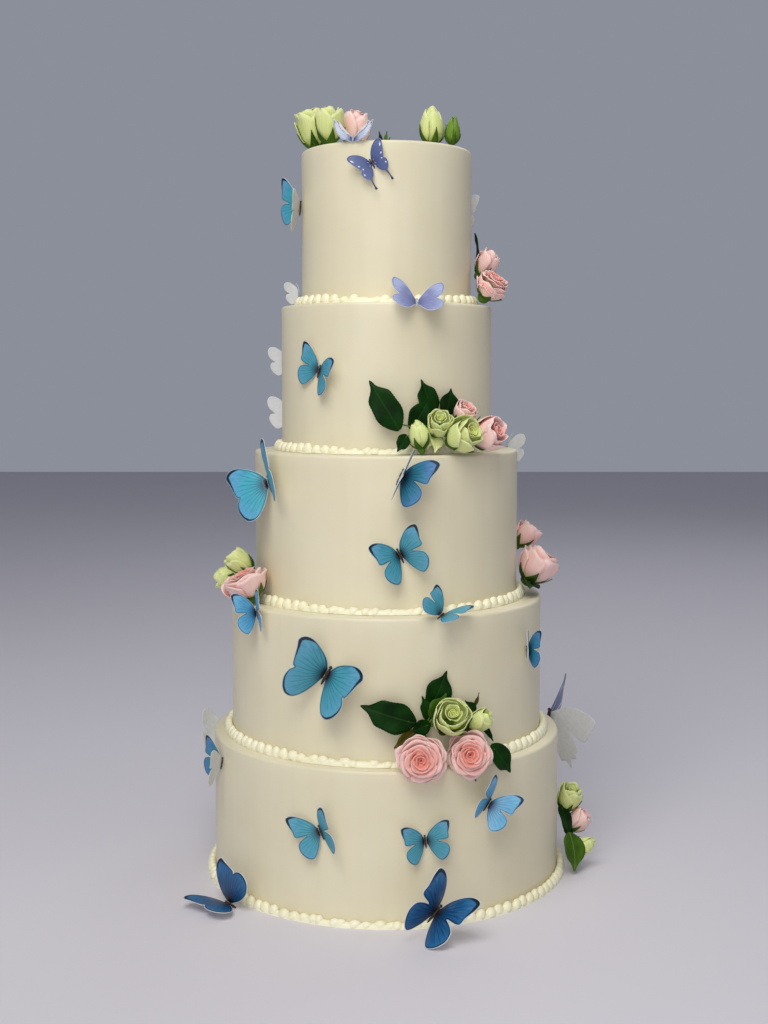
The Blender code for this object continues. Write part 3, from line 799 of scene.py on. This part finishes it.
def paper_butterfly(name, b, node=None):
    """A paper butterfly with two printed wings, in its place on the cake."""
    size = b.size * MM
    finish = PALE_BODY if b.ink in PALE_INKS else BODY
    made = joined(name, [
        wing_sheet(name + "_right", b.kind, size, b.right, 1, b.ink),
        wing_sheet(name + "_left", b.kind, size, b.left, -1, b.ink),
        butterfly_body(name + "_body", size, finish),
    ])
    up = outward(b.azimuth, 90 + b.tilt)
    back = outward(b.azimuth, b.tilt)
    across = up.cross(back)
    heading = math.radians(b.heading)
    head = up * math.cos(heading) + across * math.sin(heading)
    turn = Matrix((head.cross(back), head, back)).transposed().to_4x4()
    radius = b.radius * MM if b.radius else cake_reach(b.height * MM) + size * 0.1
    mesh = made.data
    mesh.transform(Matrix.Translation(at(b.azimuth, radius, b.height * MM)) @ turn)
    lowest = min(v.co.z for v in mesh.vertices)
    mesh.transform(Matrix.Translation((0, 0, max(0, GAP - lowest))))
    if b.radius is None:
        push = max(cake_reach(v.co.z) + GAP - math.hypot(v.co.x, v.co.y) for v in mesh.vertices)
        mesh.transform(Matrix.Translation(outward(b.azimuth) * push))
    return settle(made, node)


# Roses. Each layer of petals, from the heart out. Foot, belly and mouth are (radius, height) in head radii
# and head lengths: a petal runs from its foot to its mouth and the belly pulls it outward on the way.
# Span is a petal's width in degrees, drop how far its corners fall, curl how far its rim rolls outward,
# ripple how much its rim waves, and point how far its tip stands out.
Layer = namedtuple("Layer", "petals foot belly mouth span drop curl ripple point", defaults=(0,))
ROSE_LAYERS = {form: [Layer(*row) for row in rows] for form, rows in {
    "open": (
        (2, (0.01, 0.62), (0.03, 0.70), (0.08, 0.80), 260, 0.05, 0.00, 0.010),
        (3, (0.06, 0.68), (0.09, 0.76), (0.19, 0.83), 190, 0.10, 0.00, 0.010),
        (3, (0.16, 0.72), (0.20, 0.80), (0.32, 0.86), 165, 0.12, 0.02, 0.015),
        (4, (0.28, 0.73), (0.33, 0.81), (0.47, 0.87), 135, 0.15, 0.03, 0.020),
        (4, (0.42, 0.70), (0.49, 0.78), (0.63, 0.84), 130, 0.20, 0.05, 0.025),
        (5, (0.56, 0.60), (0.66, 0.72), (0.78, 0.77), 112, 0.24, 0.07, 0.030),
        (5, (0.20, 0.06), (0.84, 0.30), (0.80, 0.68), 108, 0.28, 0.09, 0.03, 0.03),
        (5, (0.20, 0.02), (0.86, 0.20), (0.86, 0.52), 96, 0.32, 0.12, 0.04, 0.06),
    ),
    "cup": (
        (2, (0.02, 0.66), (0.04, 0.76), (0.07, 0.84), 260, 0.04, 0.00, 0.008),
        (3, (0.06, 0.70), (0.10, 0.80), (0.17, 0.88), 190, 0.06, 0.00, 0.008),
        (3, (0.15, 0.74), (0.20, 0.84), (0.26, 0.93), 160, 0.14, 0.01, 0.020),
        (3, (0.27, 0.76), (0.42, 0.88), (0.44, 0.97), 150, 0.20, 0.03, 0.030),
        (4, (0.20, 0.06), (0.96, 0.42), (0.70, 0.99), 128, 0.22, 0.05, 0.045),
        (4, (0.20, 0.00), (1.22, 0.30), (0.84, 0.91), 124, 0.30, 0.09, 0.06, 0.04),
    ),
    "wide": (
        (2, (0.02, 0.68), (0.04, 0.76), (0.09, 0.84), 260, 0.05, 0.00, 0.010),
        (3, (0.07, 0.72), (0.12, 0.82), (0.22, 0.90), 190, 0.08, 0.01, 0.015),
        (4, (0.19, 0.74), (0.26, 0.86), (0.40, 0.94), 140, 0.10, 0.02, 0.020),
        (4, (0.36, 0.74), (0.46, 0.88), (0.60, 0.96), 130, 0.14, 0.04, 0.030),
        (5, (0.20, 0.02), (0.80, 0.36), (0.80, 0.95), 112, 0.18, 0.06, 0.04),
        (5, (0.20, 0.00), (0.98, 0.20), (0.93, 0.86), 106, 0.24, 0.10, 0.05, 0.04),
    ),
    "bud": (
        (2, (0.03, 0.60), (0.10, 0.84), (0.05, 0.97), 260, 0.05, 0.00, 0.008),
        (3, (0.08, 0.55), (0.28, 0.80), (0.14, 1.00), 190, 0.08, 0.00, 0.010),
        (3, (0.20, 0.10), (0.95, 0.45), (0.27, 0.99), 170, 0.14, 0.00, 0.015),
        (3, (0.22, 0.00), (1.58, 0.30), (0.42, 0.92), 165, 0.24, 0.03, 0.02),
    ),
    "closed": (
        (3, (0.10, 0.30), (0.60, 0.65), (0.10, 0.96), 150, 0.20, 0.00, 0.010, 0.02),
        (4, (0.24, 0.00), (1.55, 0.28), (0.22, 0.98), 118, 0.34, 0.00, 0.02, 0.06),
    ),
}.items()}
PETAL_COLUMNS = 12
PETAL_ROWS = 9
TUCK = 0.12
LAYER_TURN = 137
# How far up a rose the stalks of its fused leaves start.
STALK_START = 0.3

Rose = namedtuple("Rose", "name form petal azimuth radius height aim rise width length spin")
# Radius, height, width and length are in millimetres: the place of the base and the size of the head.
# Aim and rise are the azimuth and elevation that the rose faces.
ROSES_PLACED = [Rose(*row) for row in (
    ("rose_a1", "wide", "green", -99, 72, 733.5, -90, 78, 31, 41, 0),
    ("rose_a2", "cup", "green", -67, 61, 732.5, -20, 84, 29, 36, 20),
    ("rose_a3", "cup", "pink", -88, 34, 732.5, 40, 76, 28, 37, 40),
    ("bud_b1", "bud", "green", 73, 47.5, 733, -14, 84, 25, 37, 10),
    ("bud_b2", "closed", "green", 69, 68.5, 732.5, 40, 82, 16, 26, 30),
    ("rose_c1", "cup", "pink", 93, 93.5, 608, 80, 55, 23, 27, 0),
    ("rose_c2", "open", "pink", 74, 100, 583, 60, 52, 35, 30, 15),
    ("bud_d1", "bud", "green", 15, 126, 438, -110, 79, 20, 27, 0),
    ("rose_d2", "cup", "green", 24.3, 115.3, 453, 8, 36, 25, 27, 30),
    ("rose_d3", "cup", "green", 28.8, 125, 444, 46, 22, 33, 33, 10),
    ("bud_d4", "cup", "pink", 38.5, 112, 463, 40, 50, 23, 20, 50),
    ("rose_d5", "cup", "pink", 41.5, 124, 445, 58, 20, 32, 33, 25),
    ("bud_e1", "cup", "green", -70, 142, 312, -90, 38, 25, 29, 0),
    ("bud_e2", "cup", "green", -83, 147, 304, -96, -10, 26, 28, 20),
    ("rose_e3", "wide", "pink", -59, 153, 290, -78, 68, 45, 29, 40),
    ("rose_f1", "cup", "pink", 103, 141, 329, 92, 50, 26, 28, 5),
    ("rose_f2", "wide", "pink", 90, 145, 296, 96, 57, 40, 38, 35),
    ("rose_g1", "open", "pink", 10.5, 172, 157.5, -1, 8, 46, 32, 0),
    ("rose_g2", "open", "pink", 26, 170, 158.5, 4, 8, 44, 34, 30),
    ("rose_g3", "cup", "green", 20, 166.5, 185.5, 8, 33, 34, 32, 15),
    ("bud_g4", "cup", "green", 27.5, 166, 179, 70, 36, 20, 26, 0),
    ("rose_h1", "cup", "green", 91, 187, 52, 50, 68, 25, 30, 20),
    ("bud_h2", "cup", "pink", 88.5, 190.5, 34, 84, 43, 22, 27, 45),
)]
FOOT_BUD = Rose("leaves_h", "bud", "green", 82, 195, 20, 86, 24, 17, 24, 0)


def petal_profile(layer, v):
    """The radius and the height at a share v of the way up a petal."""
    foot, belly, mouth = Vector(layer.foot), Vector(layer.belly), Vector(layer.mouth)
    return foot * (1 - v) ** 2 + belly * 2 * v * (1 - v) + mouth * v * v


def petal(bm, layers, turn, layer, layer_share, chance):
    """Adds one curved petal to the rose as an open sheet, in head radii and head lengths."""
    rim_layer, layer_layer, petal_map = layers
    flat = {}
    sway, beat = chance.uniform(0, math.tau), chance.uniform(4, 7)
    taller = chance.uniform(-0.06, 0.04)
    curl = layer.curl * chance.uniform(0.5, 1.5)
    grow = chance.uniform(0.92, 1.05)
    rows = []
    for i in range(PETAL_ROWS + 1):
        v = i / PETAL_ROWS
        width = 0.45 + 0.55 * min(1.0, v / 0.45) ** 0.8
        row = []
        for j in range(PETAL_COLUMNS + 1):
            u = 2 * j / PETAL_COLUMNS - 1
            a = turn + math.radians(layer.span / 2) * u * width
            up = v * (1 - layer.drop * abs(u) ** 2.6)
            radius, height = petal_profile(layer, up)
            rolled = max(0.0, (up - 0.7) / 0.3) ** 2
            tip = layer.point * max(0.0, 1 - abs(u) / 0.22) * v ** 5
            radius = radius * grow * (1 + TUCK * u) + curl * rolled + tip * 0.8
            radius += layer.ripple * math.sin(u * beat + sway) * up * up
            height += taller * up - curl * 0.5 * rolled + tip * 0.5
            height += layer.ripple * 0.7 * math.cos(u * beat + sway) * up * up
            vert = bm.verts.new((radius * math.cos(a), radius * math.sin(a), height))
            vert[rim_layer] = v
            vert[layer_layer] = layer_share
            flat[vert] = (j / PETAL_COLUMNS + turn, v)
            row.append(vert)
        rows.append(row)
    skin(bm, rows, flat, petal_map)


def rose_petals(name, r, seed):
    """The petals of one rose, layer by layer, on the origin and opening along +Z."""
    chance = random.Random(seed)
    bm = bmesh.new()
    layers = (
        bm.verts.layers.float.new("rim"),
        bm.verts.layers.float.new("layer"),
        bm.loops.layers.uv.new("petal_map"),
    )
    turn = math.radians(r.spin)
    specs = ROSE_LAYERS[r.form]
    for number, layer in enumerate(specs):
        for k in range(layer.petals):
            step = math.tau * (k + chance.uniform(-0.12, 0.12)) / layer.petals
            petal(bm, layers, turn + step, layer, number / (len(specs) - 1), chance)
        turn += math.radians(LAYER_TURN)
    bm.transform(Matrix.Diagonal((r.width / 2 * MM, r.width / 2 * MM, r.length * MM, 1)))
    petals = piece_from(name, bm, [CLOSED_BUD if r.form == "closed" else PETALS[r.petal]])
    applied(petals, "SOLIDIFY", thickness=PETAL_THICKNESS, offset=0)
    return petals


# A sepal's half width, in head radii, at shares of its length.
SEPAL_STATIONS = ((0.0, 0.26), (0.15, 0.30), (0.35, 0.27), (0.55, 0.19), (0.78, 0.09), (1.0, 0.01))
SEPAL_THICKNESS = 0.5 * MM


def rose_green(name, r):
    """The green cup under a rose and its five pointed sepals, which hug the outer petals."""
    half, length = r.width / 2 * MM, r.length * MM
    outer = ROSE_LAYERS[r.form][-1]
    girth = half * 0.36

    def knob(p):
        return Vector((p.x * girth, p.y * girth, p.z * ROSE_FOOT * 1.1 + 0.2 * MM))
    cup = moulded_ball(12, 8, knob, SEPAL)
    chance = random.Random(r.name)
    bm = bmesh.new()
    leaf_map = bm.loops.layers.uv.new("leaf_map")
    flat = {}
    for k in range(5):
        a = math.tau * (k + chance.uniform(-0.1, 0.1)) / 5 + math.radians(r.spin)
        out, side = Vector((math.cos(a), math.sin(a), 0)), Vector((-math.sin(a), math.cos(a), 0))
        longest = chance.uniform(0.52, 0.7)
        loose = chance.uniform(0.0, 0.12)
        rows = []
        for along, wide in SEPAL_STATIONS:
            radius, height = petal_profile(outer, along * longest)
            radius = radius * 1.05 + 0.04 + loose * along * along
            row = []
            for step in (-1, 0, 1):
                bend = radius - 0.5 * (wide * step) ** 2 / max(radius, 0.2)
                place = out * (bend + 0.02 * (step == 0)) + side * wide * step
                v = bm.verts.new(place * half + Vector((0, 0, length * height)))
                flat[v] = (along, step * 0.8)
                row.append(v)
            rows.append(row)
        skin(bm, rows, flat, leaf_map)
    sepals = piece_from(name, bm, [SEPAL])
    applied(sepals, "SOLIDIFY", thickness=SEPAL_THICKNESS, offset=1)
    return joined(name, [sepals, cup])


def spray_rose(name, r, seed):
    """A rose with its green cup and any leaves that are fused to it, in its place on the cake."""
    base = placed((r.azimuth, r.radius, r.height))
    inside = base + outward(r.aim, r.rise) * (r.length * MM * STALK_START)
    leaves = leaves_of(r.name, inside, ROSE_LEAVES.get(r.name, ()))
    parts = [rose_petals(name + "_petals", r, seed), rose_green(name + "_cup", r)]
    for part in parts:
        part.data.transform(aimed(base, r.aim, r.rise))
    return settle(joined(name, [*parts, *leaves]), r.name)


# Leaves. A leaf's base and tip are (azimuth, radius, height) in degrees and millimetres.
# Its bow is how far its middle stands out from the straight line between them.
# Its face looks straight out from the cake, turned by an azimuth and raised by an elevation.
# Its tone names its finish.
Leaf = namedtuple("Leaf", "base tip bow width face_turn face_rise tone", defaults=(0, 0, "dark"))
Sprig = namedtuple("Sprig", "name heart leaves")
SPRIGS = (
    Sprig(
        "leaves_d",
        (16.5, 109, 456),
        (
            Leaf((6, 119, 455), (-8, 115, 501.5), 4, 27),
            Leaf((23.5, 108.5, 468), (17, 111, 502.5), 2, 21),
            Leaf((30.5, 108.5, 468), (33.5, 111, 494), 2, 22),
            Leaf((12, 110.5, 455), (21, 111.5, 485), 2, 22),
            Leaf((9, 121, 451), (4.3, 132, 436), 1, 13),
        ),
    ),
    Sprig(
        "leaves_g",
        (12.5, 161.5, 184),
        (
            Leaf((9.5, 167, 188), (-8.2, 168, 205), 5, 30),
            Leaf((14.5, 160.5, 198), (20, 162.5, 234.5), 1, 25),
            Leaf((14.5, 161.5, 188), (11.5, 163.5, 212.5), 2, 12),
            Leaf((14.5, 162.5, 186), (7.5, 166, 180), 1, 15),
            Leaf((9.5, 164, 180.5), (2.2, 174, 167), 1, 13, tone="olive"),
            Leaf((15.2, 162, 189), (19.4, 165.5, 214), 2, 22, tone="young"),
            Leaf((30.5, 162.5, 192), (26.5, 164, 205), 2, 10),
            Leaf((29, 162.5, 194), (32, 163.5, 211), 2, 3.5, tone="olive"),
            Leaf((32.5, 167, 181), (34.5, 176, 166), 1, 6),
        ),
    ),
)
ROSE_LEAVES = {
    "rose_c1": (Leaf((98, 91, 612), (95, 90, 650), 2, 17),),
    "rose_c2": (Leaf((77, 100, 582), (75, 118, 581), 2, 14, 0, 80),),
    "rose_d2": (
        Leaf((23, 117, 452), (20.5, 129, 434.5), 3, 15, tone="petal"),
        Leaf((21, 117, 455), (17.5, 126, 438), 3, 12, tone="petal"),
    ),
    "rose_f2": (Leaf((90, 147, 293), (70, 152, 296), 2, 20, 0, 65),),
    "rose_g2": (
        Leaf((32, 182, 165), (38, 188, 137), 2, 22, 0, 15),
        Leaf((26.2, 180, 146), (26.8, 183, 133), 0, 6),
    ),
    "rose_h1": (
        Leaf((88, 181, 62), (82, 189, 30), 3, 17, -45, 10),
        Leaf((92, 184, 52), (84, 193, 24), 3, 15, -35, 10),
    ),
    "leaves_h": (Leaf((80.5, 190, 40), (76, 197, 4), 4, 27, -45, 10, "young"),),
}
# The small green sprout that stands on the cake's top.
SPROUT_HEART = (-7, 20, 728)
SPROUT_LEAVES = (
    Leaf(SPROUT_HEART, (1.7, 20, 746), 1, 4, tone="young"),
    Leaf(SPROUT_HEART, (-21, 20, 746), 1, 4),
    Leaf(SPROUT_HEART, (10, 22, 740), 1, 4, tone="young"),
)
LEAF_ROWS = 36
LEAF_COLUMNS = 8
LEAF_FOLD = 0.16
LEAF_WAVE = 0.025
TEETH = 9
TOOTH = 0.045
STALK_END = 0.16
STALK_RADIUS = 0.9 * MM


def leaf_frame(leaf):
    """A leaf's base, the vector to its tip, and the directions across it and out of its face."""
    base = placed(leaf.base)
    along = placed(leaf.tip) - base
    out = outward((leaf.base[0] + leaf.tip[0]) / 2 + leaf.face_turn, leaf.face_rise)
    across = along.cross(out).normalized()
    return base, along, across, across.cross(along).normalized()


def midrib_point(leaf, share):
    """The point that far along a leaf's bowed midrib."""
    base, along, _, out = leaf_frame(leaf)
    return base + along * share + out * (leaf.bow * MM * 4 * share * (1 - share))


def leaf_half_width(share):
    """A leaf's half width there, in leaf widths: full below its middle and drawn out to a fine tip."""
    body = (math.sin(math.pi * min(1.0, share) ** 0.84)) ** 0.72 if 0 < share < 1 else 0.0
    return 0.5 * body * (1 - 0.55 * ease(0.66, 0.9, share))


def leaf_blade(name, leaf, finish):
    """A thin leaf folded along its midrib, with fine teeth and a slight wave."""
    base, along, across, out = leaf_frame(leaf)
    width = leaf.width * MM
    bm = bmesh.new()
    leaf_map = bm.loops.layers.uv.new("leaf_map")
    grid, flat = [], {}
    for i in range(LEAF_ROWS + 1):
        share = 0.01 + 0.99 * i / LEAF_ROWS
        middle = midrib_point(leaf, share)
        half = leaf_half_width(min(share, 0.999))
        tooth = 1 + TOOTH * ((share * TEETH * 2) % 1.0 - 0.5) + 0.05 * math.sin(share * 13 + leaf.tip[0])
        row = []
        for j in range(LEAF_COLUMNS + 1):
            u = 2 * j / LEAF_COLUMNS - 1
            reach = u * half * width * (tooth if abs(u) > 0.99 else 1)
            lift = LEAF_FOLD * abs(u) * half * width
            lift += LEAF_WAVE * along.length * math.sin(share * 11 + u * 2) * abs(u)
            v = bm.verts.new(middle + across * reach + out * lift)
            flat[v] = (share, u * half * 2)
            row.append(v)
        grid.append(row)
    skin(bm, grid, flat, leaf_map)
    face = next(iter(bm.faces))
    face.normal_update()
    if face.normal.dot(out) < 0:
        bmesh.ops.reverse_faces(bm, faces=bm.faces)
    blade = piece_from(name, bm, [finish])
    applied(blade, "SOLIDIFY", thickness=LEAF_THICKNESS, offset=0)
    return blade


def leaf_stalk(name, start, leaf, finish):
    """A stalk from a point inside the spray to the leaf's midrib."""
    end = midrib_point(leaf, STALK_END)
    middle = (start + end) / 2 + outward(leaf.base[0]) * 1.0 * MM
    made = stem(name, through([start, middle, end], 3), STALK_RADIUS, STALK_RADIUS * 0.7)
    made.data.materials.append(finish)
    return made


def leaves_of(name, start, leaves):
    parts = []
    for k, leaf in enumerate(leaves):
        parts.append(leaf_blade(f"{name}_blade_{k}", leaf, LEAF_FINISHES[leaf.tone]))
        parts.append(leaf_stalk(f"{name}_stalk_{k}", start, leaf, LEAF_FINISHES["young"]))
    return parts


# The cake

bead = piped_bead()
for tier in range(len(TIER_RADII)):
    iced_tier(tier)
    piped_border(tier, bead)
for number, b in enumerate(BUTTERFLIES, start=1):
    paper_butterfly(f"paper_butterfly_{number:02d}", b, f"butterfly_{number:02d}")
paper_butterfly("paper_butterfly_25", HIDDEN_BUTTERFLY)
for seed, r in enumerate(ROSES_PLACED):
    spray_rose("spray_" + r.name, r, seed)
spray_rose("foot_leaf_and_bud", FOOT_BUD, 90)
for sprig in SPRIGS:
    made = joined("sprig_" + sprig.name, leaves_of(sprig.name, placed(sprig.heart), sprig.leaves))
    settle(made, sprig.name)
settle(joined("top_sprout", leaves_of("sprout", placed(SPROUT_HEART), SPROUT_LEAVES)), None)


# Floor, light and camera

deselect()
bpy.ops.mesh.primitive_plane_add(size=12, location=(0, 0, 0))
floor = bpy.context.object
floor.name = "pale_floor"
floor.data.materials.append(speckled_finish("pale floor", 0.7, 1.5, 3.0, (226, 222, 228), (221, 217, 224)))


def soft_light(name, azimuth, elevation, distance, size, watts, colour):
    """A square soft box that looks at the middle of the cake."""
    middle = Vector((0, 0, 0.38))
    lamp = bpy.data.lights.new(name, "AREA")
    lamp.shape = "SQUARE"
    lamp.size = size
    lamp.energy = watts
    lamp.color = colour
    made = bpy.data.objects.new(name, lamp)
    bpy.context.scene.collection.objects.link(made)
    away = outward(azimuth, elevation)
    made.location = middle + away * distance
    made.rotation_euler = away.to_track_quat("Z", "Y").to_euler()
    return made


WARM, COOL = (1.0, 0.985, 0.95), (0.95, 0.97, 1.0)
soft_light("key_light", -14, 50, 2.4, 1.5, 35, WARM)
soft_light("front_light", -10, 8, 3.0, 2.0, 17, WARM)
soft_light("back_light", 150, 40, 3.0, 1.6, 9, COOL)
soft_light("top_light", 70, 74, 2.4, 1.2, 6, WARM)

BACKDROP = srgb(150, 154, 166)
world = bpy.data.worlds.new("studio")
world.use_nodes = True
tree = world.node_tree
seen = put(tree, "Background", {"Color": BACKDROP, "Strength": 0.85})
lit = put(tree, "Background", {"Color": BACKDROP, "Strength": 0.6})
mixed = put(tree, "MixShader", {0: put(tree, "LightPath"), 1: lit, 2: seen})
tree.links.new(mixed.socket, tree.nodes["World Output"].inputs["Surface"])
bpy.context.scene.world = world
bpy.context.scene.view_settings.view_transform = "Standard"

lens = bpy.data.cameras.new("camera")
lens.lens = CAMERA_LENS
lens.sensor_width = 36
camera = bpy.data.objects.new("camera", lens)
camera.location = CAMERA_PLACE
camera.rotation_euler = (CAMERA_PITCH, 0, 0)
bpy.context.scene.collection.objects.link(camera)
bpy.context.scene.camera = camera
